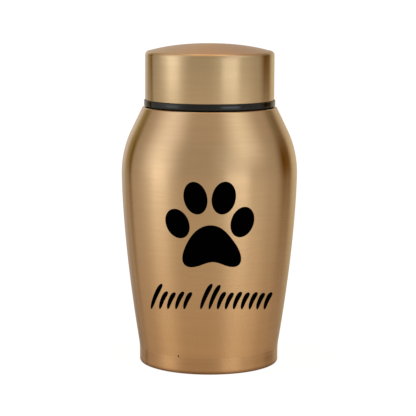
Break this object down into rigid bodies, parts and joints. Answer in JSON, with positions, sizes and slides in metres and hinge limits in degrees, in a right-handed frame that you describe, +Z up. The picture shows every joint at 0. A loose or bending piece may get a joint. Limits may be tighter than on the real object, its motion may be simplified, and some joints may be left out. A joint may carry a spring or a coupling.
{
  "type": "cremation urn",
  "caption": "Small cremation urn: shouldered brushed metal vessel on a straight foot, with a domed lift-off metal lid and a black plastic ring under the lid.",
  "frame": {"origin": "on the urn's axis, level with the underside of its foot", "axes": "+Z up along the axis towards the lid, -Y towards the decorated front"},
  "size_m": [0.0836, 0.0836, 0.1524],
  "materials": {
    "brushed_bronze": "steel sheet with a bronze tint, brushed round the axis, satin gloss",
    "black_plastic": "moulded, glossy black"
  },
  "bodies": {
    "root": {"vessel": "brushed_bronze", "lid": "brushed_bronze", "lid_ring": "black_plastic"}
  },
  "joints": []
}
